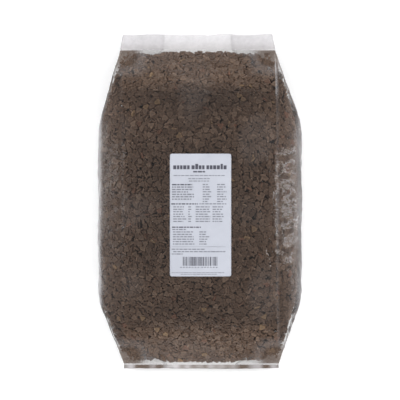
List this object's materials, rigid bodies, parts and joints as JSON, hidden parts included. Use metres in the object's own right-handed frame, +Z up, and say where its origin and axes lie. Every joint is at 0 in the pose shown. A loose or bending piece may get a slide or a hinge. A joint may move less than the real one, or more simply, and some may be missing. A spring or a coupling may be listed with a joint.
{
  "type": "pet food bag",
  "caption": "Filled clear film bag of dry pet food with folded side gussets, a flat clear header above the top seal and a long paper label.",
  "frame": {"origin": "on the surface that the bag lies on, under the middle of its overall length and width", "axes": "+X across the bag, +Y along the bag from the bottom fin towards the clear header, +Z up, out of the front panel that carries the label"},
  "size_m": [0.382, 0.63, 0.1555],
  "materials": {
    "clear_film": "clear glossy polyethylene film",
    "kibble": "dry baked brown kibble, matte",
    "label_paper": "satin bluish-white label paper"
  },
  "bodies": {
    "root": {"film_bag": "clear_film", "kibble_heap": "kibble", "label": "label_paper"}
  },
  "joints": []
}
